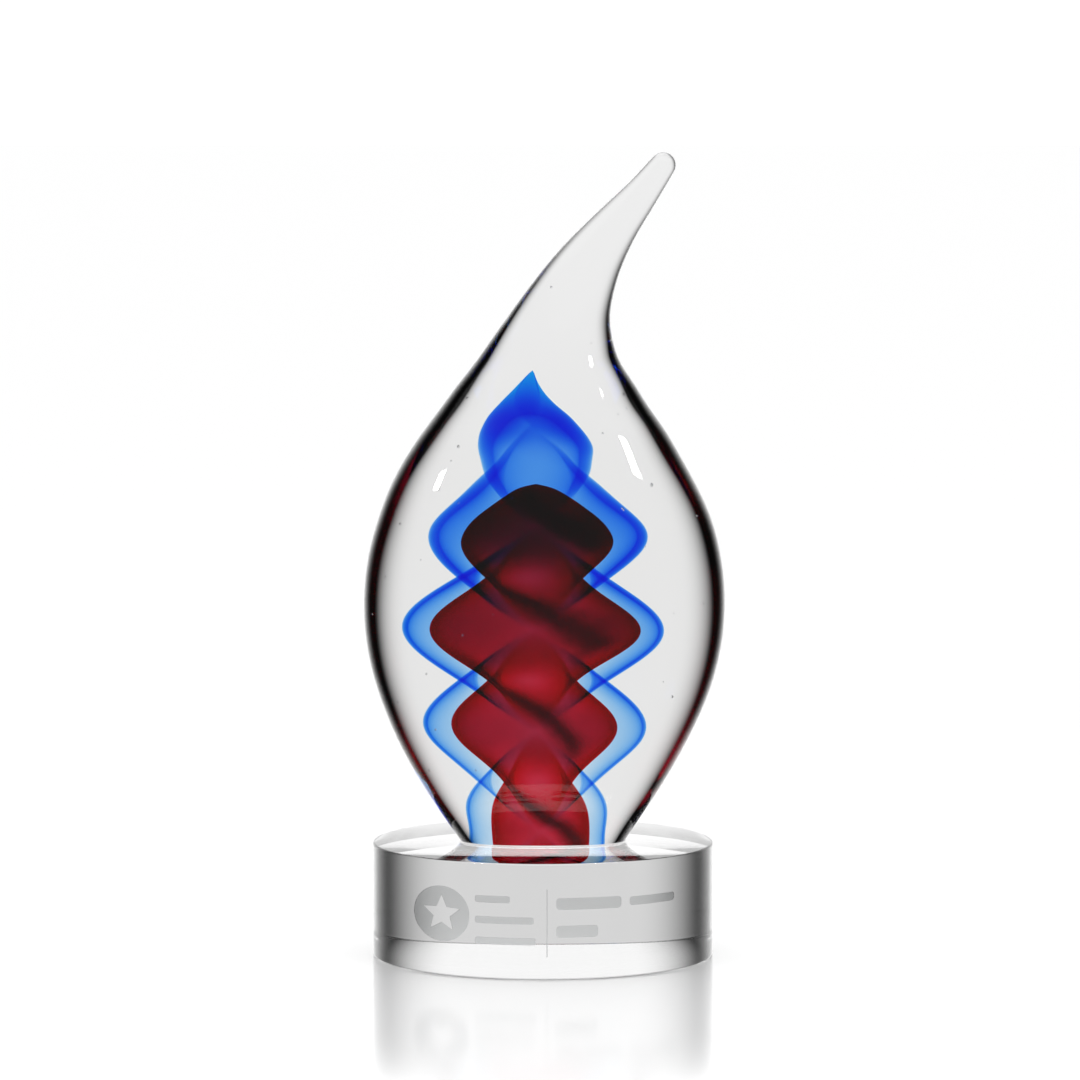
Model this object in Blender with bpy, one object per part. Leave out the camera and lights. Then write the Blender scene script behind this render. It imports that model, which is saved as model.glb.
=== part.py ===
"""Crystal award: a drawn glass flame with a twisted blue and red core, bonded to a round clear base.

Metres, +Z up. The front faces -Y, the tip leans towards +X, and the origin is the centre of the
base's underside. The flame is cased glass: each gather of glass is a closed solid that fits inside
the next one, and all of them end at the ground foot, where a clear film bonds them to the base.
"""

import math

import bmesh
import bpy
import numpy as np

MM = 0.001

# Base: a polished disc of clear crystal
BASE_DIAMETER = 90 * MM
BASE_HEIGHT = 30 * MM
BASE_CHAMFER = 0.8 * MM
BASE_SEGMENTS = 64

# Clearance between pieces that touch, and the film that bonds the foot
GAP = 0.3 * MM
FILM_THICKNESS = 0.4 * MM
FILM_MARGIN = 0.5 * MM
FILM_SEGMENTS = 32

# Sides of every ring of the flame
RING_SIDES = 24

# Fullness of the flame's section: 2 is an oval, and more is nearer a rounded rectangle
FULLNESS = 2.5

# Flame, in mm: height and x of its centre line, half-width across that line, depth as a share of width
FLAME_STATIONS = (
    (31.0, 0.0, 22.2, 0.60),
    (46.0, -0.1, 32.3, 0.55),
    (61.0, -0.1, 40.3, 0.51),
    (76.0, 0.1, 45.7, 0.48),
    (93.0, 0.4, 47.8, 0.47),
    (108.0, 0.6, 46.2, 0.47),
    (122.0, 0.8, 41.6, 0.48),
    (136.0, 1.4, 33.8, 0.50),
    (149.0, 2.2, 24.7, 0.54),
    (160.0, 3.5, 17.2, 0.61),
    (171.0, 6.5, 12.0, 0.70),
    (182.0, 11.8, 8.7, 0.80),
    (192.0, 18.6, 6.2, 0.89),
    (201.0, 25.8, 4.5, 0.96),
    (208.6, 31.5, 3.4, 1.00),
)
FLAME_RINGS = 26
LEAN_STEP = 0.01
TIP_STEPS = 3

# Twist: the core is pressed into two lobes, and its lobes turn left-handed as they rise
HALF_TURN = 26.2 * MM
LOBES_ACROSS_Z = 86.9 * MM
LOBE_SHARPNESS = 1.0
CORE_DEPTH = 0.50
POLE_LIFT_POWER = 6

# Blue layer, in mm: height, x of its axis, radius to the lobes, radius to the creases, wall, and how
# far the inside lies below the outside. Its wall thickens as it rises to a solid blue tip.
BLUE_STATIONS = (
    (31.0, -1.1, 15.4, 10.6, 1.0, 0.0),
    (40.0, -1.3, 17.0, 10.8, 1.0, 0.0),
    (48.0, -1.6, 20.4, 11.4, 1.0, 0.0),
    (60.0, -1.6, 26.3, 13.2, 1.1, 0.0),
    (73.0, -2.0, 30.4, 14.8, 1.3, 0.0),
    (87.0, -2.2, 32.1, 15.6, 1.5, 0.0),
    (100.0, -1.8, 31.2, 15.2, 2.0, 0.0),
    (112.0, -1.2, 26.9, 13.4, 2.5, 0.0),
    (124.0, -1.3, 18.5, 11.0, 2.8, 0.0),
    (130.0, -1.6, 14.3, 9.6, 2.8, 0.0),
    (134.0, -1.8, 13.6, 10.0, 3.0, 0.8),
    (137.5, -2.5, 12.6, 9.9, 3.6, 2.0),
    (141.0, -3.3, 10.3, 8.5, 3.8, 3.6),
    (144.5, -3.9, 6.4, 5.5, 2.8, 5.4),
    (148.0, -3.8, 3.3, 3.0, 1.6, 7.6),
    (151.5, -3.2, 1.3, 1.2, 0.6, 9.6),
    (154.0, -2.5, 0.0, 0.0, 0.0, 11.4),
)
BLUE_RINGS = 34

# Red layer, in the same columns
RED_STATIONS = (
    (31.0, -0.4, 11.5, 7.2, 1.0, 0.0),
    (40.0, -0.7, 12.5, 6.8, 1.0, 0.0),
    (48.0, -1.2, 15.2, 6.8, 1.0, 0.0),
    (60.0, -1.8, 19.9, 7.6, 1.0, 0.0),
    (74.0, -2.4, 24.2, 9.0, 1.1, 0.0),
    (87.0, -1.8, 26.2, 9.8, 1.2, 0.0),
    (100.0, -1.8, 23.7, 9.8, 1.2, 0.0),
    (111.0, -1.4, 18.9, 9.2, 1.2, 0.2),
    (116.5, -1.4, 14.2, 8.2, 1.2, 0.7),
    (121.0, -1.6, 7.2, 5.4, 0.8, 1.2),
    (124.0, -1.8, 0.0, 0.0, 0.0, 1.8),
)
RED_RINGS = 22

# Linear colour, roughness and transmission of each glass
CRYSTAL = ((0.94, 0.95, 0.95), 0.02)
CLEAR_RESIN = ((0.92, 0.93, 0.90), 0.05)
BLUE_GLASS = ((0.0, 0.16, 0.83), 0.02)
RED_GLASS = ((0.42, 0.004, 0.016), 0.02)


def remove_everything():
    """Empties the scene without closing the file that this script runs from."""
    for obj in list(bpy.data.objects):
        bpy.data.objects.remove(obj, do_unlink=True)


def glass(name, look):
    """A clear or coloured glass."""
    colour, roughness = look
    material = bpy.data.materials.new(name)
    material.use_nodes = True
    shader = material.node_tree.nodes["Principled BSDF"]
    shader.inputs["Base Color"].default_value = (*colour, 1.0)
    shader.inputs["Roughness"].default_value = roughness
    shader.inputs["Metallic"].default_value = 0.0
    shader.inputs["Transmission Weight"].default_value = 1.0
    shader.inputs["IOR"].default_value = 1.5
    material.diffuse_color = (*colour, 1.0)
    return material


def finish(bm, name, material, sharp_angle=30.0):
    """Turns a closed bmesh into a named object, shaded smooth but for its sharp edges."""
    bmesh.ops.recalc_face_normals(bm, faces=bm.faces)
    mesh = bpy.data.meshes.new(name)
    bm.to_mesh(mesh)
    bm.free()
    mesh.shade_smooth()
    mesh.set_sharp_from_angle(angle=math.radians(sharp_angle))
    mesh.materials.append(material)
    obj = bpy.data.objects.new(name, mesh)
    bpy.context.scene.collection.objects.link(obj)
    return obj


def curve_through(points):
    """A smooth curve through points of any dimension, as a function of 0 to 1 along its first two."""
    points = np.array(points, dtype=float)
    steps = np.hypot(*np.diff(points[:, :2], axis=0).T)
    knots = np.concatenate(([0.0], np.cumsum(steps)))
    slopes = np.diff(points, axis=0) / steps[:, None]
    weights = (steps[:-1] / (steps[:-1] + steps[1:]))[:, None]
    tangents = np.vstack((slopes[:1], (1 - weights) * slopes[:-1] + weights * slopes[1:], slopes[-1:]))

    def at(u):
        s = u * knots[-1]
        i = min(int(np.searchsorted(knots, s, side="right")) - 1, len(steps) - 1)
        t = (s - knots[i]) / steps[i]
        start, end = points[i], points[i + 1]
        lead_in, lead_out = tangents[i] * steps[i], tangents[i + 1] * steps[i]
        return (
            start * (1 + 2 * t) * (1 - t) ** 2
            + lead_in * t * (1 - t) ** 2
            + end * t**2 * (3 - 2 * t)
            - lead_out * t**2 * (1 - t)
        )

    return at


def flame_rings():
    """Rings of the flame's skin from its foot to its tip, square to its centre line, and its pole."""
    at = curve_through(FLAME_STATIONS)
    rings = []
    for step in range(FLAME_RINGS + 1):
        u = step / FLAME_RINGS
        z, x, half, depth = at(u)
        before, after = at(max(u - LEAN_STEP, 0.0)), at(min(u + LEAN_STEP, 1.0))
        lean = math.atan2(after[1] - before[1], after[0] - before[0]) if step else 0.0
        rings.append(flame_ring(x, z, half, half * depth, lean))
    radius = half
    for step in range(1, TIP_STEPS):
        turn = math.radians(90) * step / TIP_STEPS
        rise = radius * math.sin(turn)
        across = radius * math.cos(turn)
        rings.append(flame_ring(x + rise * math.sin(lean), z + rise * math.cos(lean), across, across, lean))
    pole = ((x + radius * math.sin(lean)) * MM, 0.0, (z + radius * math.cos(lean)) * MM)
    return rings, pole


def flame_ring(x, z, half, depth, lean):
    """One ring of the flame, tilted towards +X by the angle lean; sizes in mm, points in metres."""
    points = []
    for side in range(RING_SIDES):
        turn = 2 * math.pi * side / RING_SIDES
        across, along = half * fuller(math.cos(turn)), depth * fuller(math.sin(turn))
        points.append(
            (
                (x + across * math.cos(lean)) * MM,
                along * MM,
                (z - across * math.sin(lean)) * MM,
            )
        )
    return points


def fuller(share):
    """Moves a share of the way across an oval out to the same place on the fuller section."""
    return math.copysign(abs(share) ** (2 / FULLNESS), share)


def core_ring(z, axis, lobe, crease):
    """One level ring of the core, whose two lobes point where the twist has brought them."""
    turned = math.pi * (z * MM - LOBES_ACROSS_Z) / HALF_TURN
    points = []
    for side in range(RING_SIDES):
        turn = 2 * math.pi * side / RING_SIDES
        lobe_share = abs(math.cos(turn + turned)) ** LOBE_SHARPNESS
        radius = crease + (lobe - crease) * lobe_share
        points.append(
            (
                (axis + radius * math.cos(turn)) * MM,
                radius * CORE_DEPTH * math.sin(turn) * MM,
                z * MM,
            )
        )
    return points


def core_rings(stations, count, inside=False, grow=0.0):
    """Rings of one skin of a layer, and the pole that closes them; grow moves the skin out by metres."""
    at = curve_through(stations)
    grow = grow / MM
    levels = []
    for step in range(count + 1):
        u = step / count
        z, axis, lobe, crease, wall, drop = at(u)
        if inside:
            z, lobe, crease = z - drop, lobe - wall, crease - wall
        levels.append((z + grow * u**POLE_LIFT_POWER, axis, lobe + grow, crease + grow))
    top_z, top_axis = levels[-1][:2]
    return [core_ring(*level) for level in levels[:-1]], (top_axis * MM, 0.0, top_z * MM)


def draw_skin(bm, rings, pole):
    """Draws a skin up through the rings and closes it at the pole; returns its foot's edges and faces."""
    circle = bmesh.ops.create_circle(bm, segments=len(rings[0]), radius=1.0)["verts"]
    for vert, point in zip(circle, rings[0]):
        vert.co = point
    foot = [bm.edges.get((circle[i - 1], circle[i])) for i in range(len(circle))]
    level, edges = circle, foot
    faces = []
    for ring in rings[1:]:
        made = bmesh.ops.extrude_edge_only(bm, edges=edges)["geom"]
        fresh = {item for item in made if isinstance(item, bmesh.types.BMVert)}
        faces += [item for item in made if isinstance(item, bmesh.types.BMFace)]
        level = [next(e.other_vert(v) for e in v.link_edges if e.other_vert(v) in fresh) for v in level]
        for vert, point in zip(level, ring):
            vert.co = point
        edges = [bm.edges.get((level[i - 1], level[i])) for i in range(len(level))]
    lid = bmesh.ops.contextual_create(bm, geom=edges)["faces"]
    crown = bmesh.ops.poke(bm, faces=lid)
    crown["verts"][0].co = pole
    faces = bmesh.ops.triangulate(bm, faces=faces, quad_method="FIXED")["faces"]
    return foot, faces + crown["faces"]


def shell(name, outside, inside, material):
    """A gather of glass between two skins, open at its ground foot."""
    bm = bmesh.new()
    outer_foot = draw_skin(bm, *outside)[0]
    inner_foot, inner_faces = draw_skin(bm, *inside)
    bmesh.ops.reverse_faces(bm, faces=inner_faces)
    bmesh.ops.bridge_loops(bm, edges=outer_foot + inner_foot)
    return finish(bm, name, material)


def solid(name, outside, material):
    """A gather of glass with nothing inside it, flat at its ground foot."""
    bm = bmesh.new()
    foot = draw_skin(bm, *outside)[0]
    bmesh.ops.contextual_create(bm, geom=foot)
    return finish(bm, name, material)


def disc(name, segments, radius, height, bottom_z, chamfer, material):
    """A round disc with chamfered rims."""
    bm = bmesh.new()
    made = bmesh.ops.create_cone(
        bm, cap_ends=True, segments=segments, radius1=radius, radius2=radius, depth=height
    )
    bmesh.ops.translate(bm, verts=made["verts"], vec=(0, 0, bottom_z + height / 2))
    if chamfer:
        rims = [e for e in bm.edges if e.verts[0].co.z == e.verts[1].co.z]
        bmesh.ops.bevel(bm, geom=rims, offset=chamfer, segments=1, affect="EDGES", clamp_overlap=True)
    return finish(bm, name, material)


def build_base():
    """The clear disc that the award stands on."""
    material = glass("base_crystal", CRYSTAL)
    disc("base_disc", BASE_SEGMENTS, BASE_DIAMETER / 2, BASE_HEIGHT, 0.0, BASE_CHAMFER, material)


def build_film():
    """The cured film that holds the flame's foot on the base, an oval a little smaller than the foot."""
    half, depth = FLAME_STATIONS[0][2] * MM, FLAME_STATIONS[0][3]
    material = glass("clear_resin", CLEAR_RESIN)
    film = disc(
        "adhesive_film", FILM_SEGMENTS, half - FILM_MARGIN, FILM_THICKNESS, BASE_HEIGHT + GAP, 0.0, material
    )
    for vert in film.data.vertices:
        vert.co.y *= depth


def build_flame():
    """The gathers of the flame, from the outer casing in to the clear heart."""
    clear = glass("clear_glass", CRYSTAL)
    blue, red = (BLUE_STATIONS, BLUE_RINGS), (RED_STATIONS, RED_RINGS)
    shell("flame_casing", flame_rings(), core_rings(*blue, grow=GAP), clear)
    blue_skins = core_rings(*blue), core_rings(*blue, inside=True)
    shell("blue_layer", *blue_skins, glass("blue_glass", BLUE_GLASS))
    clear_skins = core_rings(*blue, inside=True, grow=-GAP), core_rings(*red, grow=GAP)
    shell("clear_interlayer", *clear_skins, clear)
    red_skins = core_rings(*red), core_rings(*red, inside=True)
    shell("red_layer", *red_skins, glass("red_glass", RED_GLASS))
    solid("core_gather", core_rings(*red, inside=True, grow=-GAP), clear)


remove_everything()
build_base()
build_film()
build_flame()
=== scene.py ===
"""Looks of the crystal award: a glass flame with a twisted blue and red core, on a clear disc.

Metres, +Z up, the front towards -Y. The stations of the flame and its core are in mm, and are
turned to metres where they are used. The clear gathers of the flame are one glass to the eye, so
one clear piece stands for them, and the two colours are thin veils of glass inside it.
"""

import math
import random

import bpy
import numpy as np
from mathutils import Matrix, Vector


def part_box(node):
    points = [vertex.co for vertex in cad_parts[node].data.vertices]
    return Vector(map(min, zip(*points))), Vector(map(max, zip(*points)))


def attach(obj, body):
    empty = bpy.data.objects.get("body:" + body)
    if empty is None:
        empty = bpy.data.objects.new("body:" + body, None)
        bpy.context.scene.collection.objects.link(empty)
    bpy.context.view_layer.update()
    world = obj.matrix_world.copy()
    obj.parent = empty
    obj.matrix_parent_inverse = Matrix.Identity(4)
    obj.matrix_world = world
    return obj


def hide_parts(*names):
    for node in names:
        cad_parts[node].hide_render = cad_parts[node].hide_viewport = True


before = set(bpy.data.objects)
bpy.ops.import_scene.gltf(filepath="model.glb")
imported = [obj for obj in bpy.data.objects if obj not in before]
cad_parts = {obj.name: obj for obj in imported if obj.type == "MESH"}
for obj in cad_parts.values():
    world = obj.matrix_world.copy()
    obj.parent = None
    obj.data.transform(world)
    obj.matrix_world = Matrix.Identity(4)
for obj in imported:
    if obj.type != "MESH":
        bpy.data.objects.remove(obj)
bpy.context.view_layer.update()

MM = 0.001

# Size of the base
BASE_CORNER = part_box("base_disc")[1]
BASE_RADIUS, BASE_TOP = BASE_CORNER.x, BASE_CORNER.z

# Film under the flame's foot: the gap below it, its thickness, and the fillet round it
FILM_GAP = 0.02 * MM
FILM_THICKNESS = 0.36 * MM
FILLET = 0.4 * MM

# Flame, in mm: height and x of its centre line, half-width across it, depth as a share of width
FLAME_STATIONS = (
    (30.4, 0.0, 21.9, 0.60),
    (46.0, -0.1, 32.3, 0.55),
    (61.0, -0.1, 40.3, 0.51),
    (76.0, 0.1, 45.7, 0.48),
    (93.0, 0.4, 47.8, 0.47),
    (108.0, 0.6, 46.2, 0.47),
    (122.0, 0.8, 41.6, 0.48),
    (136.0, 1.4, 33.8, 0.50),
    (149.0, 2.2, 24.7, 0.54),
    (160.0, 3.5, 17.2, 0.61),
    (171.0, 6.5, 12.0, 0.70),
    (182.0, 11.8, 8.7, 0.80),
    (192.0, 18.6, 6.2, 0.89),
    (201.0, 25.8, 4.5, 0.96),
    (208.6, 31.5, 3.4, 1.00),
)
FLAME_SIDES = 48
FLAME_LEVELS = 64
TIP_LEVELS = 6

# Fullness of the flame's section: 2 is an oval, and more is nearer a rounded rectangle
FULLNESS = 2.5

# Twist of the core, left-handed as it rises: the height of half a turn, and a height at which the
# lobes lie along X
HALF_TURN = 26.2 * MM
LOBES_ACROSS_Z = 86.9 * MM

# Section of the core, in shares of its half-width: the creases of its ring, and its skins' depths
CREASE_SHARE = 0.52
CORE_DEPTH = 0.50
BLUE_DEPTH_INSIDE = 0.515
CORE_SIDES = 64

# Skins of the core, in mm: height, x of the axis, radius to the lobes, radius to the creases
BLUE_OUTSIDE = (
    (30.4, -1.1, 15.4, 10.6),
    (40.0, -1.3, 17.0, 10.8),
    (48.0, -1.6, 20.4, 11.4),
    (60.0, -1.6, 26.3, 13.2),
    (73.0, -2.0, 30.4, 14.8),
    (87.0, -2.2, 32.1, 15.6),
    (100.0, -1.8, 31.2, 15.2),
    (112.0, -1.2, 26.9, 13.4),
    (124.0, -1.3, 18.5, 11.0),
    (130.0, -1.6, 14.3, 9.6),
    (134.0, -1.8, 13.6, 10.0),
    (137.5, -2.5, 12.6, 9.9),
    (141.0, -3.3, 10.3, 8.5),
    (144.5, -3.9, 6.4, 5.5),
    (148.0, -3.8, 3.3, 3.0),
    (151.5, -3.2, 1.3, 1.2),
    (154.0, -2.5, 0.2, 0.2),
)
BLUE_INSIDE = (
    (30.4, -1.1, 14.8, 10.0),
    (40.0, -1.3, 16.4, 10.2),
    (48.0, -1.6, 19.7, 10.7),
    (60.0, -1.6, 25.4, 12.3),
    (73.0, -2.0, 29.3, 13.7),
    (87.0, -2.2, 30.8, 14.3),
    (100.0, -1.8, 29.4, 13.4),
    (112.0, -1.2, 24.4, 10.9),
    (124.0, -1.3, 14.9, 8.3),
    (130.0, -1.6, 10.9, 7.4),
    (134.0, -1.8, 10.1, 7.5),
    (137.5, -2.4, 8.1, 6.4),
    (140.5, -2.9, 5.3, 4.5),
    (142.0, -3.2, 2.9, 2.5),
    (142.6, -3.3, 1.1, 0.8),
)
RED_OUTSIDE = (
    (30.4, -0.4, 11.5, 7.2),
    (40.0, -0.7, 12.5, 6.8),
    (48.0, -1.2, 15.2, 6.8),
    (60.0, -1.8, 19.9, 7.6),
    (74.0, -2.4, 24.2, 9.0),
    (87.0, -1.8, 26.2, 9.8),
    (100.0, -1.8, 23.7, 9.8),
    (111.0, -1.4, 18.9, 9.2),
    (116.5, -1.4, 14.2, 8.2),
    (121.0, -1.6, 7.2, 5.4),
    (123.6, -1.8, 2.0, 1.6),
    (124.0, -1.8, 0.3, 0.3),
)
RED_INSIDE = (
    (30.4, -0.4, 10.5, 6.2),
    (40.0, -0.7, 11.5, 5.8),
    (48.0, -1.2, 14.2, 5.8),
    (60.0, -1.8, 18.9, 6.6),
    (74.0, -2.4, 23.1, 7.9),
    (87.0, -1.8, 25.0, 8.6),
    (100.0, -1.8, 22.5, 8.6),
    (110.8, -1.4, 17.7, 8.0),
    (115.8, -1.4, 13.0, 7.0),
    (119.8, -1.6, 6.4, 4.6),
    (121.8, -1.8, 1.6, 1.3),
    (122.2, -1.8, 0.3, 0.3),
)
CORE_LEVELS = 90

# Base: its rounded rims, the loops that keep its wall flat beside them, and how far the bonded
# patch on its top stays inside the foot
BASE_SIDES = 480
RIM_BEVEL = 0.4 * MM
RIM_SEGMENTS = 4
RIM_LOOP = 1 * MM
PATCH_MARGIN = 0.3 * MM

# Shares of the disc's radius and height beyond which a point is on a rim, and of the patch's
# half-width within which a point is on the patch
RIM_SHARE = 0.99
PATCH_SHARE = 1.05

# Etching on the front of the base, marked by punches that start inside the disc and pass its wall
ETCH_DEPTH = 0.25 * MM
PUNCH_DEPTH = 22 * MM
PUNCH_BACK = -28 * MM

# Roundel with a star cut out of it: x, height and radius
STAR = (-26.2 * MM, 16.0 * MM, 5.0 * MM)
STAR_CORNERS = 10
STAR_WAIST = 0.45
ROUNDEL = (-26.2 * MM, 16.0 * MM, 7.2 * MM)
ROUNDEL_SIDES = 96

# Rule and bars: left and right ends, height of the middle, and thickness
BARS = (
    (-17.5 * MM, -8.5 * MM, 20.6 * MM, 1.8 * MM),
    (-17.5 * MM, -2.4 * MM, 15.2 * MM, 1.8 * MM),
    (-17.5 * MM, -1.8 * MM, 9.8 * MM, 1.8 * MM),
    (0.9 * MM, 1.2 * MM, 14.6 * MM, 17.6 * MM),
    (3.4 * MM, 20.2 * MM, 19.6 * MM, 3.0 * MM),
    (22.4 * MM, 34.0 * MM, 19.6 * MM, 2.2 * MM),
    (3.4 * MM, 14.2 * MM, 12.4 * MM, 3.0 * MM),
)
BAR_ROUNDING = 0.3
BAR_SEGMENTS = 4

# Seed bubbles: their shares of the way up the flame, round to its edge and out from its centre
# line, their radius, and how far they are drawn out
SEED_COUNT = 34
SEED_DRAW = 7
SEED_RISE = (0.06, 0.8)
SEED_TURN = (0.15, 1.0)
SEED_SPREAD = (0.62, 0.93)
SEED_SIZE = (0.12 * MM, 0.32 * MM)
SEED_STRETCH = (1.0, 1.6)

# Refraction of the glasses; the fused colours and the bonded faces bend nothing
GLASS_IOR = 1.5
RESIN_IOR = 1.48
FUSED_IOR = 1.0

# Colour and density of what each glass absorbs
FLAME_ABSORPTION = ((0.9, 0.9, 0.895), 20.0)
BASE_ABSORPTION = ((0.9, 0.9, 0.9), 30.0)
BLUE_ABSORPTION = ((0.0, 0.576, 0.976), 850.0)
RED_ABSORPTION = ((0.955, 0.04, 0.27), 3500.0)

# Height and scale of the waviness that working and polishing left in each clear surface
FLAME_RIPPLE = (0.02 * MM, 30.0)
RESIN_RIPPLE = (0.01 * MM, 400.0)
BASE_RIPPLE = (0.004 * MM, 40.0)

# Blue at its tip: its colour, the heights between which it sets in, and the clouds that shift them
BLUE_TIP = (0.0, 0.4, 0.93)
BLUE_TIP_Z = (0.128, 0.147)
BLUE_CLOUDS = 70.0
BLUE_SHIFT = 8 * MM

# Painted shade: dark streaks painted along the creases of the red, on its front only. The values
# are:
# their colour, which the dark top and the clouds share; the x they wind round; the clouds that bend
# them; how far, and round what turn from the crease; their width; their strength; and the y between
# which they end
RED_DARK_AND_PAINTED_SHADE = (0.1, 0.02, 0.06)
RED_AXIS = -1.8 * MM
SHADE_STREAK_CLOUDS = 45.0
SHADE_STREAK_WANDER = 1.4
SHADE_STREAK_TURN = -0.7
SHADE_STREAK_WIDTH = 0.55
SHADE_STREAK_SHARE = 0.8
SHADE_STREAK_END = (-3 * MM, 1 * MM)

# Dark top of the red, with the heights between which it sets in, and the clouds over all of the red
RED_TOP_Z = (0.101, 0.114)
RED_TOP_SHARE = 0.35
RED_CLOUDS = 60.0
RED_CLOUD_SHARE = 0.35

# Etched frost: a grey colour, which is painted shade that darkens the etching; its least roughness,
# and the grain that adds to that
FROST_PAINTED_SHADE_COLOUR = (0.36, 0.37, 0.37, 1.0)
FROST_ROUGHNESS = 0.45
FROST_GRAIN = 4000.0
FROST_GRAIN_SHARE = 0.2

# Pale sweep that the award stands on; its gloss ends between two distances from the middle
FLOOR_RADIUS = 12.0
FLOOR_SIDES = 128
FLOOR_DROP = 0.2 * MM
FLOOR_COLOUR = (0.95, 0.95, 0.95, 1.0)
FLOOR_ROUGHNESS = 0.12
GLOSS_REACH = (0.12, 0.3)

# Camera
CAMERA_PLACE = (-0.76 * MM, -1552.2 * MM, 241.6 * MM)
CAMERA_DIP = 4.85
CAMERA_LENS = 196.9
CAMERA_CLIP = (0.01, 50)

# Softboxes: azimuth from the front towards +X and elevation, in degrees, width, height and power;
# both face one place, from the same distance
RIGHT_STRIP = (38.6, 27.6, 0.085, 0.085, 0.75)
LEFT_STRIP = (-46.1, 23.7, 0.075, 0.10, 0.75)
SOFTBOX_AIM = (0, 0, 0.13)
SOFTBOX_DISTANCE = 0.9

# Studio: how bright each part of it is, and the angles from the back, in degrees, between which one
# part gives way to the next; the ceiling sets in between two shares of the way up
GROUND_LEVEL = 0.92
MIRRORED_GROUND = 1.3
FLAG_LEVEL = 0.03
FLAG_RISE = (22.0, 60.0)
SIDE_LEVEL = 0.85
SIDE_RISE = (70.0, 84.0)
FRONT_LEVEL = 0.25
FRONT_RISE = (125.0, 145.0)
CEILING_LEVEL = 0.7
CEILING_RISE = (0.45, 0.7)
PLAIN_LEVEL = 1.08
RAY_KINDS = ("Is Camera Ray", "Is Diffuse Ray", "Glossy Depth")

# Times that light may pass through glass, and be mirrored
LIGHT_BOUNCES = 64
MIRROR_BOUNCES = 12

WHITE = (1.0, 1.0, 1.0, 1.0)

# How near a place on a ring of radius 1 a point has to be to count as in it
NEAR = 1e-4


class Signal:
    """A node's output in a shader expression; arithmetic on it adds Math nodes."""

    def __init__(self, shader, socket):
        self.shader = shader
        self.socket = socket

    def __add__(self, other):
        return self.shader.maths("ADD", self, other)

    def __radd__(self, other):
        return self.shader.maths("ADD", other, self)

    def __sub__(self, other):
        return self.shader.maths("SUBTRACT", self, other)

    def __rsub__(self, other):
        return self.shader.maths("SUBTRACT", other, self)

    def __mul__(self, other):
        return self.shader.maths("MULTIPLY", self, other)

    def __rmul__(self, other):
        return self.shader.maths("MULTIPLY", other, self)

    def __abs__(self):
        return self.shader.maths("ABSOLUTE", self)


class Shader:
    """The node tree of a material or the world."""

    def __init__(self, tree):
        self.tree = tree
        tree.nodes.clear()

    def node(self, kind, settings=None, sockets=None, output=0):
        """Adds a node with its settings and its sockets' values or links, and gives an output."""
        node = self.tree.nodes.new(kind)
        for name, value in (settings or {}).items():
            setattr(node, name, value)
        for name, value in (sockets or {}).items():
            if isinstance(value, Signal):
                self.tree.links.new(value.socket, node.inputs[name])
            else:
                node.inputs[name].default_value = value
        return Signal(self, node.outputs[output] if len(node.outputs) else None)

    def maths(self, operation, first, second=0.0):
        """The result of a Math node."""
        return self.node("ShaderNodeMath", {"operation": operation}, {0: first, 1: second})

    def smooth_step(self, value, low, high):
        """0 below low, 1 above high, and a smooth rise between them."""
        return self.node(
            "ShaderNodeMapRange",
            {"interpolation_type": "SMOOTHSTEP"},
            {"Value": value, "From Min": low, "From Max": high},
        )

    def place(self):
        """Where on its object a point of the surface is."""
        return self.node("ShaderNodeTexCoord", output="Object")

    def parts(self, vector):
        """The x, y and z of a vector."""
        return [self.node("ShaderNodeSeparateXYZ", {}, {0: vector}, output=i) for i in range(3)]

    def noise(self, place, scale, detail):
        """Soft clouds of 0 to 1."""
        return self.node(
            "ShaderNodeTexNoise", {}, {"Vector": place, "Scale": scale, "Detail": detail}
        )


# Materials


def new_material(name):
    """A material and its empty shader."""
    material = bpy.data.materials.new(name)
    material.use_nodes = True
    return material, Shader(material.node_tree)


def glass(name, ior, ripple=None, tint=None, absorption=None):
    """A polished glass.

    ripple is the height and scale of its waviness, tint is a function that gives the colour of its
    surface, and absorption is the colour and density of what it absorbs.
    """
    material, shader = new_material(name)
    sockets = {
        "Base Color": tint(shader) if tint else WHITE,
        "Roughness": 0.0,
        "IOR": ior,
        "Transmission Weight": 1.0,
    }
    if ripple:
        height, scale = ripple
        waves = shader.noise(shader.place(), scale, 1.0)
        sockets["Normal"] = shader.node(
            "ShaderNodeBump", {}, {"Height": waves, "Strength": 1.0, "Distance": height}
        )
    ends = {"Surface": shader.node("ShaderNodeBsdfPrincipled", {}, sockets)}
    if absorption:
        colour, density = absorption
        ends["Volume"] = shader.node(
            "ShaderNodeVolumeAbsorption", {}, {"Color": (*colour, 1.0), "Density": density}
        )
    shader.node("ShaderNodeOutputMaterial", {}, ends)
    return material


def mixed_tint(shader, share, colour):
    """White glass tinted with a share of a colour."""
    ends = {0: share, 6: WHITE, 7: (*colour, 1.0)}
    return shader.node("ShaderNodeMix", {"data_type": "RGBA"}, ends, output=2)


def blue_tint(shader):
    """The blue runs together towards its tip, in soft clouds."""
    place = shader.place()
    z = shader.parts(place)[2] + (shader.noise(place, BLUE_CLOUDS, 2.0) - 0.5) * BLUE_SHIFT
    return mixed_tint(shader, shader.smooth_step(z, *BLUE_TIP_Z), BLUE_TIP)


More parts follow.
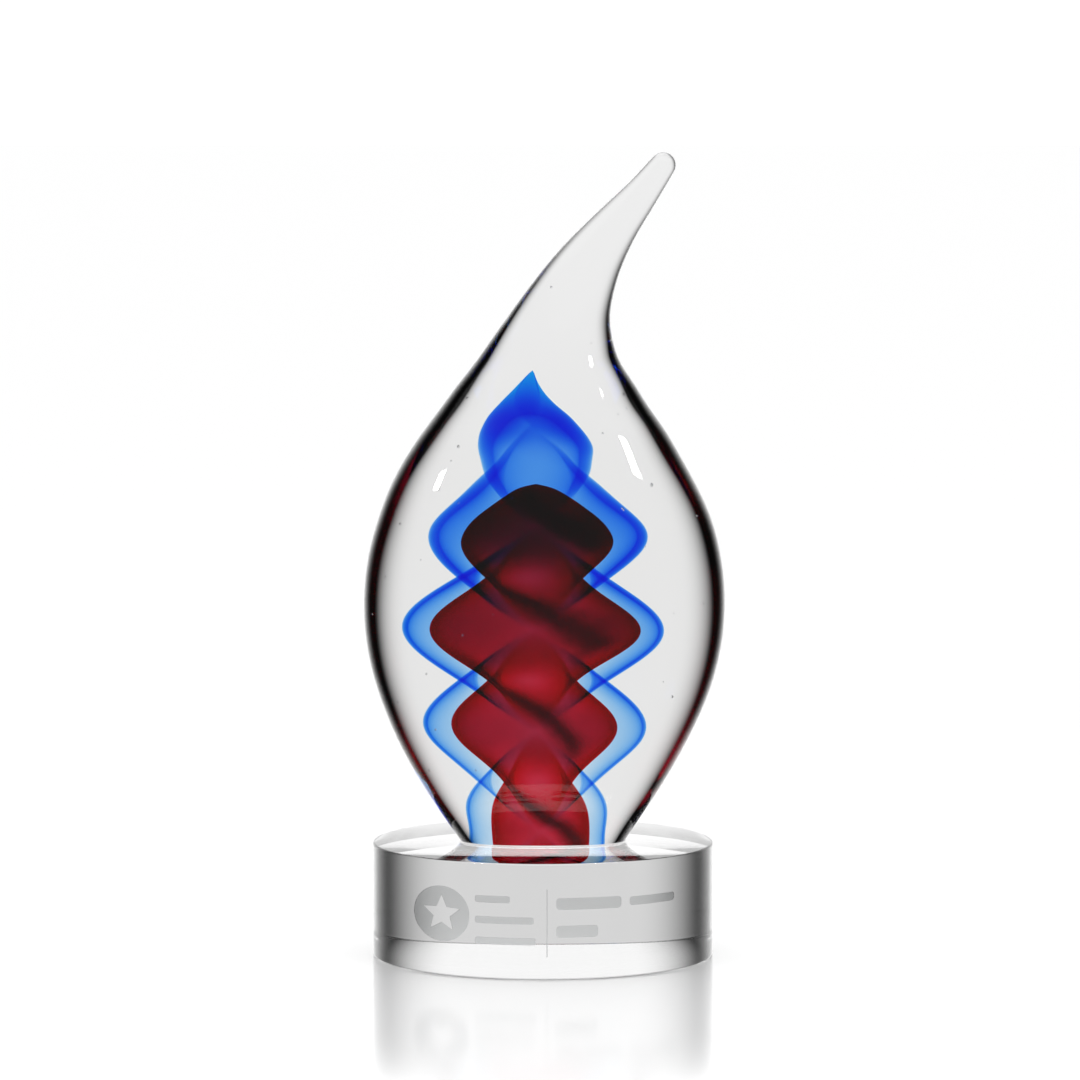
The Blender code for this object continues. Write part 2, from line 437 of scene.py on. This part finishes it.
def red_tint_and_painted_shade(shader):
    """Painted shade: dark streaks wander along the creases of the red on the front; its top is dark
    too.
    """
    place = shader.place()
    x, y, z = shader.parts(place)
    turn = shader.maths("ARCTAN2", y * (1 / CORE_DEPTH), x - RED_AXIS)
    wander = (shader.noise(place, SHADE_STREAK_CLOUDS, 2.0) - 0.5) * SHADE_STREAK_WANDER + SHADE_STREAK_TURN
    phase = turn + (z - LOBES_ACROSS_Z) * (math.pi / HALF_TURN) + wander
    crease = abs(shader.maths("COSINE", phase))
    # painted shade: dark streaks along the creases, where shade falls, kept to the front below
    painted_shade_streak = 1 - shader.smooth_step(crease, 0.0, SHADE_STREAK_WIDTH)
    front = 1 - shader.smooth_step(y, *SHADE_STREAK_END)
    top = shader.smooth_step(z, *RED_TOP_Z) * RED_TOP_SHARE
    clouds = shader.noise(place, RED_CLOUDS, 2.0) * RED_CLOUD_SHARE
    return mixed_tint(shader, painted_shade_streak * front * SHADE_STREAK_SHARE + top + clouds, RED_DARK_AND_PAINTED_SHADE)


def frosted_glass():
    """Glass etched to a fine even grain, and painted grey as shade on the etching."""
    material, shader = new_material("etched_frost_with_painted_shade")
    grain = shader.noise(shader.place(), FROST_GRAIN, 2.0)
    sockets = {
        # grey base colour: painted shade that darkens the etched recesses
        "Base Color": FROST_PAINTED_SHADE_COLOUR,
        "Roughness": FROST_ROUGHNESS + grain * FROST_GRAIN_SHARE,
        "IOR": GLASS_IOR,
        "Transmission Weight": 1.0,
    }
    surface = shader.node("ShaderNodeBsdfPrincipled", {}, sockets)
    shader.node("ShaderNodeOutputMaterial", {}, {"Surface": surface})
    return material


def floor_finish():
    """A pale sweep, glossy near the award and matt beyond."""
    material, shader = new_material("pale_sweep")
    glossy = shader.node(
        "ShaderNodeBsdfPrincipled",
        {},
        {"Base Color": FLOOR_COLOUR, "Roughness": FLOOR_ROUGHNESS, "IOR": GLASS_IOR},
    )
    matt = shader.node("ShaderNodeBsdfDiffuse", {}, {"Color": FLOOR_COLOUR})
    distance = shader.node(
        "ShaderNodeVectorMath", {"operation": "LENGTH"}, {0: shader.place()}, output=1
    )
    far = shader.smooth_step(distance, *GLOSS_REACH)
    surface = shader.node("ShaderNodeMixShader", {}, {0: far, 1: glossy, 2: matt})
    shader.node("ShaderNodeOutputMaterial", {}, {"Surface": surface})
    return material


# Modelling


def curve_through(points):
    """A smooth curve through points, as a function of 0 to 1 along it.

    Its length is measured in the first two numbers of each point; the others follow along.
    """
    points = np.array(points, dtype=float)
    steps = np.hypot(*np.diff(points[:, :2], axis=0).T)
    knots = np.concatenate(([0.0], np.cumsum(steps)))
    slopes = np.diff(points, axis=0) / steps[:, None]
    weights = (steps[:-1] / (steps[:-1] + steps[1:]))[:, None]
    inner = (1 - weights) * slopes[:-1] + weights * slopes[1:]
    tangents = np.vstack((slopes[:1], inner, slopes[-1:]))

    def at(u):
        s = u * knots[-1]
        i = min(int(np.searchsorted(knots, s, side="right")) - 1, len(steps) - 1)
        t = (s - knots[i]) / steps[i]
        start, end = points[i], points[i + 1]
        lead_in, lead_out = tangents[i] * steps[i], tangents[i + 1] * steps[i]
        return (
            start * (1 + 2 * t) * (1 - t) ** 2
            + lead_in * t * (1 - t) ** 2
            + end * t**2 * (3 - 2 * t)
            - lead_out * t**2 * (1 - t)
        )

    return at


def pick(piece):
    """Selects a piece alone and makes it the active one."""
    bpy.ops.object.select_all(action="DESELECT")
    piece.select_set(True)
    bpy.context.view_layer.objects.active = piece


def edit(piece):
    """Opens a piece alone in edit mode."""
    if bpy.context.mode != "OBJECT":
        leave()
    pick(piece)
    bpy.ops.object.mode_set(mode="EDIT")


def edit_all(piece):
    """Opens a piece alone in edit mode, all of it selected."""
    edit(piece)
    bpy.ops.mesh.select_all(action="SELECT")


def edit_open_edges(piece):
    """Opens a piece alone in edit mode, its open edges selected."""
    edit(piece)
    bpy.ops.mesh.select_all(action="DESELECT")
    bpy.ops.mesh.select_non_manifold()


def leave():
    """Goes back to object mode."""
    bpy.ops.object.mode_set(mode="OBJECT")


def stretch(across, along, centre=(0, 0, 0)):
    """Scales what is selected along X and Y, from a centre."""
    bpy.ops.transform.resize(value=(across, along, 1), center_override=centre)


def select_points(piece, test):
    """Selects the points of a piece whose place passes the test, and stays in edit mode."""
    bpy.ops.mesh.select_mode(type="VERT")
    bpy.ops.mesh.select_all(action="DESELECT")
    leave()
    for point in piece.data.vertices:
        point.select = test(point.co)
    edit(piece)


def start_ring(name, sides):
    """A ring of radius 1 round the origin, all selected in edit mode."""
    bpy.ops.object.select_all(action="DESELECT")
    bpy.ops.mesh.primitive_circle_add(vertices=sides, radius=1.0, location=(0, 0, 0))
    piece = bpy.context.object
    piece.name = name
    edit(piece)
    bpy.ops.mesh.select_mode(type="VERT")
    bpy.ops.mesh.select_all(action="SELECT")
    return piece


def select_step(piece, step, sides):
    """Selects the points of a ring so many steps from +Y or -Y, and gives their |x| and |y|."""
    turn = 2 * math.pi * step / sides
    across, along = math.sin(turn), math.cos(turn)
    select_points(
        piece,
        lambda place: abs(abs(place.x) - across) < NEAR and abs(abs(place.y) - along) < NEAR,
    )
    return across, along


def fuller_ring(name, sides):
    """A ring that reaches 1 along X and Y and is fuller than a circle between them."""
    piece = start_ring(name, sides)
    for step in range(1, sides // 4):
        across, along = select_step(piece, step, sides)
        stretch(across ** (2 / FULLNESS - 1), along ** (2 / FULLNESS - 1))
    bpy.ops.mesh.select_all(action="SELECT")
    return piece


def two_lobed_ring(name, sides):
    """A ring pressed in at +Y and -Y to two lobes.

    It reaches 1 along X at the lobes and 1 along Y at the creases.
    """
    piece = start_ring(name, sides)
    for step in range(sides // 4 + 1):
        across, _ = select_step(piece, step, sides)
        pressed = CREASE_SHARE + (1 - CREASE_SHARE) * across
        stretch(pressed, pressed)
    bpy.ops.mesh.select_all(action="SELECT")
    stretch(1, 1 / CREASE_SHARE)
    return piece


def draw_up(levels, pole):
    """Draws the selected ring of radius 1 up through levels, and closes it at its pole.

    A level is a centre, a half-width, a half-depth and a lean.
    """
    centre, width, depth, lean = levels[0]
    stretch(width, depth)
    bpy.ops.transform.translate(value=centre)
    for next_centre, next_width, next_depth, next_lean in levels[1:]:
        bpy.ops.mesh.extrude_edges_move(TRANSFORM_OT_translate={"value": next_centre - centre})
        if next_lean != lean:
            bpy.ops.transform.rotate(
                value=lean - next_lean, orient_axis="Y", center_override=next_centre
            )
        across, along = next_width / width, next_depth / depth
        bpy.ops.transform.resize(
            value=(across, along, across if next_lean else 1), center_override=next_centre
        )
        centre, width, depth, lean = next_centre, next_width, next_depth, next_lean
    bpy.ops.mesh.extrude_edges_move(TRANSFORM_OT_translate={"value": pole - centre})
    bpy.ops.mesh.merge(type="CENTER")
    leave()


def soften(piece, levels):
    """Rounds a piece with applied subdivision."""
    bpy.context.view_layer.objects.active = piece
    rounding = piece.modifiers.new("rounding", "SUBSURF")
    rounding.levels = rounding.render_levels = levels
    bpy.ops.object.modifier_apply(modifier=rounding.name)


def select_edges(piece, test):
    """Selects the edges of a piece whose two ends pass the test, and stays in edit mode."""
    bpy.ops.mesh.select_all(action="DESELECT")
    bpy.ops.mesh.select_mode(type="EDGE")
    leave()
    points = piece.data.vertices
    for line in piece.data.edges:
        line.select = test(*(points[i].co for i in line.vertices))
    edit(piece)


def join(piece, other):
    """Joins another mesh into a piece."""
    pick(piece)
    other.select_set(True)
    bpy.ops.object.join()


def close_up(piece):
    """Points every face of the closed mesh being edited outwards, and leaves it."""
    bpy.ops.mesh.select_all(action="SELECT")
    bpy.ops.mesh.normals_make_consistent(inside=False)
    leave()


def shade(piece, angle=40.0):
    """Shades a piece smooth but for its edges sharper than an angle in degrees."""
    pick(piece)
    bpy.ops.object.shade_smooth_by_angle(angle=math.radians(angle))


def add_glasses(piece, clear, bonded):
    """Gives a piece its clear glass, and its selected face the bonded one."""
    piece.data.materials.append(clear)
    piece.data.materials.append(bonded)
    piece.active_material_index = 1
    bpy.ops.object.material_slot_assign()


def flame_levels():
    """Levels of the flame from foot to rounded tip, square to its centre line, and its pole."""
    at = curve_through(FLAME_STATIONS)
    look = 0.5 / FLAME_LEVELS
    levels = []
    for step in range(FLAME_LEVELS + 1):
        u = step / FLAME_LEVELS
        z, x, half, depth = at(u)
        before, after = at(max(u - look, 0.0)), at(min(u + look, 1.0))
        rise, drift = after[:2] - before[:2]
        lean = math.atan2(drift, rise) if step else 0.0
        levels.append((Vector((x, 0, z)) * MM, half * MM, half * depth * MM, lean))
    ahead = Vector((math.sin(lean), 0, math.cos(lean)))
    centre, radius = levels[-1][0], levels[-1][1]
    for step in range(1, TIP_LEVELS):
        turn = math.radians(90) * step / TIP_LEVELS
        across = radius * math.cos(turn)
        levels.append((centre + ahead * radius * math.sin(turn), across, across, lean))
    return levels, centre + ahead * radius


def build_flame(bonded):
    """The clear glass of the flame, closed at its ground foot."""
    piece = fuller_ring("flame_glass", FLAME_SIDES)
    draw_up(*flame_levels())
    soften(piece, 2)
    edit_open_edges(piece)
    bpy.ops.mesh.edge_face_add()
    clear = glass("clear_glass", GLASS_IOR, ripple=FLAME_RIPPLE, absorption=FLAME_ABSORPTION)
    add_glasses(piece, clear, bonded)
    close_up(piece)
    shade(piece)
    return piece


def core_levels(stations):
    """Levels of one skin of the core before it is twisted, and its pole.

    The axis of the levels winds back, so that the twist sets it straight.
    """
    at = curve_through(stations)
    levels = []
    for step in range(CORE_LEVELS + 1):
        z, axis, lobe, crease = at(step / CORE_LEVELS) * MM
        turned = twist_at(z)
        centre = Vector((axis * math.cos(turned), -axis * math.sin(turned), z))
        levels.append((centre, lobe, crease, 0.0))
    return levels[:-1], levels[-1][0]


def twist_at(z):
    """How far the core has turned at a height."""
    return -math.pi * (z - LOBES_ACROSS_Z) / HALF_TURN


def twist_skin(skin, depth_share):
    """Winds an untwisted skin of the core and flattens it to a share of its depth."""
    edit_all(skin)
    bpy.ops.transform.translate(value=(0, 0, -LOBES_ACROSS_Z))
    leave()
    heights = [point.co.z for point in skin.data.vertices]
    twist = skin.modifiers.new("twist", "SIMPLE_DEFORM")
    twist.deform_method = "TWIST"
    twist.deform_axis = "Z"
    twist.angle = -math.pi * (max(heights) - min(heights)) / HALF_TURN
    bpy.ops.object.modifier_apply(modifier=twist.name)
    edit_all(skin)
    bpy.ops.transform.translate(value=(0, 0, LOBES_ACROSS_Z))
    stretch(1, depth_share)


def draw_skin(name, stations, depth_share):
    """One twisted skin of the core, open at the foot, left in edit mode."""
    skin = two_lobed_ring(name, CORE_SIDES)
    draw_up(*core_levels(stations))
    soften(skin, 1)
    twist_skin(skin, depth_share)
    return skin


def build_veil(name, outside, inside, inside_depth, material):
    """A thin layer of coloured glass between two skins, bridged at the ground foot."""
    piece = draw_skin(name, outside, CORE_DEPTH)
    leave()
    lining = draw_skin(f"{name}_lining", inside, inside_depth)
    bpy.ops.mesh.flip_normals()
    leave()
    join(piece, lining)
    edit_open_edges(piece)
    bpy.ops.mesh.bridge_edge_loops()
    close_up(piece)
    piece.data.materials.append(material)
    shade(piece, 60.0)
    return piece


def build_film(bonded):
    """The cured film under the flame's foot, with the small fillet that it was squeezed out to."""
    half, depth = foot_size(FILLET)
    piece = fuller_ring("bond_film", FLAME_SIDES * 2)
    stretch(half, depth)
    bpy.ops.transform.translate(value=(0, 0, BASE_TOP + FILM_GAP))
    bpy.ops.mesh.edge_face_add()
    bpy.ops.mesh.extrude_region_move(TRANSFORM_OT_translate={"value": (0, 0, FILM_THICKNESS)})
    narrower = foot_size()[0] / half
    stretch(narrower, narrower)
    piece.data.materials.append(glass("clear_resin", RESIN_IOR, ripple=RESIN_RIPPLE))
    piece.data.materials.append(bonded)
    close_up(piece)
    for face in piece.data.polygons:
        face.material_index = int(abs(face.normal.z) > 0.9)
    shade(piece)
    return piece


def foot_size(margin=0.0):
    """Half-width and half-depth of the flame's foot, with a margin round it."""
    half, depth_share = FLAME_STATIONS[0][2] * MM, FLAME_STATIONS[0][3]
    return half + margin, half * depth_share + margin


def build_base(bonded):
    """The clear disc, drawn out from the patch where the flame is bonded to its top."""
    half, depth = foot_size(-PATCH_MARGIN)
    piece = start_ring("base_crystal_disc", BASE_SIDES)
    stretch(half, depth)
    bpy.ops.transform.translate(value=(0, 0, BASE_TOP))
    bpy.ops.mesh.extrude_edges_move()
    stretch(BASE_RADIUS / half, BASE_RADIUS / depth, (0, 0, BASE_TOP))
    for drop in (RIM_LOOP, BASE_TOP - 2 * RIM_LOOP, RIM_LOOP):
        bpy.ops.mesh.extrude_edges_move(TRANSFORM_OT_translate={"value": (0, 0, -drop)})
    bpy.ops.mesh.edge_face_add()
    select_edges(piece, lambda a, b: is_rim(a) and is_rim(b) and abs(a.z - b.z) < MM / 2)
    bpy.ops.mesh.bevel(offset=RIM_BEVEL, segments=RIM_SEGMENTS, affect="EDGES")
    reach = PATCH_SHARE * half
    select_points(piece, lambda a: math.hypot(a.x, a.y) < reach and a.z > BASE_TOP / 2)
    bpy.ops.mesh.edge_face_add()
    clear = glass("base_crystal", GLASS_IOR, ripple=BASE_RIPPLE, absorption=BASE_ABSORPTION)
    add_glasses(piece, clear, bonded)
    close_up(piece)
    etch(piece)
    shade(piece)
    return piece


def is_rim(place):
    """Whether a point is on the upper or lower rim of the disc."""
    middle = BASE_TOP / 2
    is_outer = math.hypot(place.x, place.y) > RIM_SHARE * BASE_RADIUS
    return is_outer and abs(place.z - middle) > RIM_SHARE * middle


def raise_shape(x, z):
    """Makes the flat shape being edited a punch that faces the front, at a place on the wall."""
    bpy.ops.mesh.select_all(action="SELECT")
    bpy.ops.mesh.extrude_region_move(TRANSFORM_OT_translate={"value": (0, 0, PUNCH_DEPTH)})
    bpy.ops.mesh.select_all(action="SELECT")
    bpy.ops.transform.rotate(
        value=-math.radians(90), orient_axis="X", center_override=(0, 0, 0)
    )
    bpy.ops.transform.translate(value=(x, PUNCH_BACK, z))
    bpy.ops.mesh.normals_make_consistent(inside=False)
    leave()


def star_punch(x, z, radius):
    """A five-pointed star."""
    star = start_ring("star", STAR_CORNERS)
    select_points(star, lambda place: point_number(place, STAR_CORNERS) % 2 == 1)
    stretch(STAR_WAIST, STAR_WAIST)
    bpy.ops.mesh.select_all(action="SELECT")
    stretch(radius, radius)
    bpy.ops.mesh.edge_face_add()
    raise_shape(x, z)
    return star


def point_number(place, count):
    """The number of a point round a ring of count points that starts at +Y."""
    return round(math.atan2(place.x, place.y) / (2 * math.pi / count))


def round_punch(x, z, radius):
    """A plain disc."""
    roundel = start_ring("roundel", ROUNDEL_SIDES)
    stretch(radius, radius)
    bpy.ops.mesh.edge_face_add()
    raise_shape(x, z)
    return roundel


def bar_punch(left, right, z, height):
    """A bar with rounded corners."""
    width = right - left
    bpy.ops.object.select_all(action="DESELECT")
    bpy.ops.mesh.primitive_plane_add(size=1.0, location=(0, 0, 0))
    bar = bpy.context.object
    bar.name = "bar"
    edit_all(bar)
    stretch(width, height)
    rounding = min(width, height) * BAR_ROUNDING
    bpy.ops.mesh.bevel(offset=rounding, segments=BAR_SEGMENTS, affect="VERTICES")
    raise_shape((left + right) / 2, z)
    return bar


def wall_skin():
    """A thin tube round the wall of the disc, as deep as the etching."""
    skin = start_ring("wall_skin", BASE_SIDES)
    inner = BASE_RADIUS - ETCH_DEPTH
    stretch(inner, inner)
    bpy.ops.mesh.extrude_edges_move()
    wider = (BASE_RADIUS + MM) / inner
    stretch(wider, wider)
    bpy.ops.mesh.select_all(action="SELECT")
    bpy.ops.mesh.extrude_region_move(TRANSFORM_OT_translate={"value": (0, 0, BASE_TOP)})
    close_up(skin)
    return skin


def etch(piece):
    """Etches the wall of the disc: a roundel with a clear star, a rule, and plain bars."""
    frost = frosted_glass()
    roundel = round_punch(*ROUNDEL)
    cut(roundel, star_punch(*STAR), "DIFFERENCE")
    for punch in [roundel] + [bar_punch(*bar) for bar in BARS]:
        cut(punch, wall_skin(), "INTERSECT")
        punch.data.materials.clear()
        punch.data.materials.append(frost)
        cut(piece, punch, "DIFFERENCE")


def cut(piece, cutter, operation):
    """Applies a Boolean to a piece and removes the cutter; cut faces keep the cutter's material."""
    bpy.context.view_layer.objects.active = piece
    boolean = piece.modifiers.new("cut", "BOOLEAN")
    boolean.operation = operation
    boolean.solver = "EXACT"
    boolean.object = cutter
    boolean.material_mode = "TRANSFER"
    bpy.ops.object.modifier_apply(modifier=boolean.name)
    bpy.data.objects.remove(cutter)


def build_seeds(material):
    """Seed bubbles caught in the clear glass, drawn out a little along the flame."""
    chance = random.Random(SEED_DRAW)
    at = curve_through(FLAME_STATIONS)
    seeds = []
    for _ in range(SEED_COUNT):
        z, x, half, depth = at(chance.uniform(*SEED_RISE))
        turn = chance.choice((-1, 1)) * chance.uniform(*SEED_TURN) * math.pi / 2
        out = half * chance.uniform(*SEED_SPREAD)
        size = chance.uniform(*SEED_SIZE)
        place = Vector((x + out * math.sin(turn), -out * depth * math.cos(turn), z)) * MM
        bpy.ops.object.select_all(action="DESELECT")
        bpy.ops.mesh.primitive_ico_sphere_add(subdivisions=2, radius=size, location=(0, 0, 0))
        seed = bpy.context.object
        edit_all(seed)
        bpy.ops.transform.resize(value=(1, 1, chance.uniform(*SEED_STRETCH)))
        bpy.ops.transform.translate(value=place)
        leave()
        seeds.append(seed)
    for seed in seeds[1:]:
        join(seeds[0], seed)
    seeds[0].name = "seed_bubbles"
    seeds[0].data.materials.append(material)
    shade(seeds[0], 80.0)
    return seeds[0]


def build_floor():
    """The sweep that the award stands on, which the glass doesn't bend or mirror into sight."""
    bpy.ops.object.select_all(action="DESELECT")
    bpy.ops.mesh.primitive_circle_add(
        vertices=FLOOR_SIDES, radius=FLOOR_RADIUS, fill_type="NGON", location=(0, 0, -FLOOR_DROP)
    )
    floor = bpy.context.object
    floor.name = "sweep"
    floor.data.materials.append(floor_finish())
    floor.visible_transmission = False
    floor.visible_glossy = False


def build_world():
    """A studio with a white ground behind the award and a dark flag on each side of it.

    Light that the glass only bends sees a pale room past the flags. Light that it also mirrors sees
    a brighter ground, and past the flags a dim front and ceiling. All else sees plain white.
    """
    world = bpy.data.worlds.new("studio")
    bpy.context.scene.world = world
    world.use_nodes = True
    shader = Shader(world.node_tree)
    x, y, z = shader.parts(shader.node("ShaderNodeTexCoord", output="Generated"))
    angle = shader.maths("ARCTAN2", abs(x), y) * math.degrees(1)
    path = {name: shader.node("ShaderNodeLightPath", output=name) for name in RAY_KINDS}
    mirrored = shader.maths("MINIMUM", path["Glossy Depth"], 1.0)
    ground = GROUND_LEVEL + mirrored * (MIRRORED_GROUND - GROUND_LEVEL)
    overhead = shader.smooth_step(z, *CEILING_RISE) * (CEILING_LEVEL - FLAG_LEVEL)
    front = shader.smooth_step(angle, *FRONT_RISE) * (FRONT_LEVEL - FLAG_LEVEL) + overhead
    beyond = SIDE_LEVEL - mirrored * (SIDE_LEVEL - FLAG_LEVEL - front)
    into_flag = shader.smooth_step(angle, *FLAG_RISE)
    past_flag = shader.smooth_step(angle, *SIDE_RISE)
    room = ground - into_flag * (ground - FLAG_LEVEL) + past_flag * (beyond - FLAG_LEVEL)
    plain = path["Is Camera Ray"] + path["Is Diffuse Ray"]
    level = room + plain * (PLAIN_LEVEL - room)
    background = shader.node("ShaderNodeBackground", {}, {"Color": WHITE, "Strength": level})
    shader.node("ShaderNodeOutputWorld", {}, {"Surface": background})


def build_softbox(name, azimuth, elevation, width, height, power):
    """A softbox that lights the flame but isn't bent into sight by it."""
    turn, rise = math.radians(azimuth), math.radians(elevation)
    out = Vector(
        (math.sin(turn) * math.cos(rise), -math.cos(turn) * math.cos(rise), math.sin(rise))
    )
    bpy.ops.object.light_add(
        type="AREA", location=Vector(SOFTBOX_AIM) + out * SOFTBOX_DISTANCE
    )
    light = bpy.context.object
    light.name = name
    light.data.shape = "RECTANGLE"
    light.data.size = width
    light.data.size_y = height
    light.data.energy = power
    light.visible_transmission = False
    light.rotation_euler = out.to_track_quat("Z", "Y").to_euler()


def build_camera():
    """The camera, a little above the award and dipped towards it."""
    bpy.ops.object.camera_add(
        location=CAMERA_PLACE, rotation=(math.radians(90 - CAMERA_DIP), 0, 0)
    )
    camera = bpy.context.object
    camera.data.lens = CAMERA_LENS
    camera.data.clip_start, camera.data.clip_end = CAMERA_CLIP
    bpy.context.scene.camera = camera


def set_light_paths():
    """Lets light through every layer of glass."""
    scene = bpy.context.scene
    scene.view_settings.view_transform = "Standard"
    scene.cycles.max_bounces = LIGHT_BOUNCES
    scene.cycles.transmission_bounces = LIGHT_BOUNCES
    scene.cycles.glossy_bounces = MIRROR_BOUNCES
    scene.cycles.transparent_max_bounces = LIGHT_BOUNCES
    scene.cycles.caustics_reflective = True
    scene.cycles.caustics_refractive = True


set_light_paths()
build_camera()
build_world()
build_softbox("right_strip", *RIGHT_STRIP)
build_softbox("left_strip", *LEFT_STRIP)
build_floor()

bonded_glass = glass("bonded_glass", FUSED_IOR)

flame = build_flame(bonded_glass)
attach(flame, "root")
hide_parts("flame_casing", "clear_interlayer", "core_gather")

blue_glass = glass("blue_glass", FUSED_IOR, tint=blue_tint, absorption=BLUE_ABSORPTION)
blue = build_veil("blue_veil", BLUE_OUTSIDE, BLUE_INSIDE, BLUE_DEPTH_INSIDE, blue_glass)
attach(blue, "root")
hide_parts("blue_layer")

# the red glass carries painted shade along its creases on the front
red_glass = glass("red_glass", FUSED_IOR, tint=red_tint_and_painted_shade, absorption=RED_ABSORPTION)
red = build_veil("red_veil", RED_OUTSIDE, RED_INSIDE, CORE_DEPTH, red_glass)
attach(red, "root")
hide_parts("red_layer")

seeds = build_seeds(glass("seed_air", GLASS_IOR))
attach(seeds, "root")

film = build_film(bonded_glass)
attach(film, "root")
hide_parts("adhesive_film")

base = build_base(bonded_glass)
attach(base, "root")
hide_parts("base_disc")
